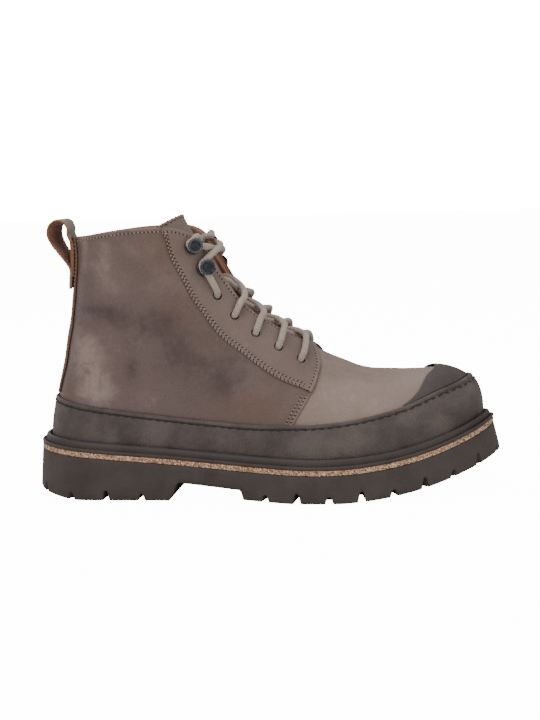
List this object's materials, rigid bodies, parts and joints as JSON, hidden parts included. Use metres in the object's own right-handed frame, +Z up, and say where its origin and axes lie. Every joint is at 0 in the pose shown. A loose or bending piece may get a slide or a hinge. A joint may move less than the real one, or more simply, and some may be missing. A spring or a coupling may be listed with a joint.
{
  "type": "lace-up ankle boot",
  "caption": "Right lace-up ankle boot: leather upper with rand, toe cap, eyelets and hooks, on a thick lugged sole with a cork layer and a heel pull loop.",
  "frame": {"origin": "on the floor under the middle of the heel's tread", "axes": "+X to the toe, +Y to the inner (medial) side of the right foot, +Z up"},
  "size_m": [0.3054, 0.1164, 0.1825],
  "materials": {
    "leather": "waxed pull-up grain, satin with soft highlights",
    "facing_leather": "waxed pull-up grain, satin",
    "tongue_leather": "soft grain, matt",
    "loop_leather": "grain outside, tan cut edges",
    "rand_rubber": "matt with a fine diagonal weave",
    "toe_cap_rubber": "matt, finely roughened",
    "outsole_rubber": "matt moulded rubber",
    "welt_rubber": "matt, slightly polished bead",
    "cork": "pressed cork grains, matt",
    "insole_leather": "smooth tan lining leather",
    "lace_cord": "woven round cord, matt",
    "hook_metal": "gunmetal, satin"
  },
  "bodies": {
    "root": {"upper": "leather", "rand": "rand_rubber", "toe_cap": "toe_cap_rubber", "facing_lateral": "facing_leather", "facing_medial": "facing_leather", "back_stay": "leather", "tongue": "tongue_leather", "pull_loop": "loop_leather", "outsole": "outsole_rubber", "cork_midsole": "cork", "welt": "welt_rubber", "insole": "insole_leather", "lace_crossing_1": "lace_cord", "lace_crossing_2": "lace_cord", "lace_crossing_3": "lace_cord", "lace_crossing_4": "lace_cord", "lace_hook_crossing": "lace_cord", "hook_lateral_lower": "hook_metal", "hook_lateral_upper": "hook_metal", "hook_medial_lower": "hook_metal", "hook_medial_upper": "hook_metal"}
  },
  "joints": []
}
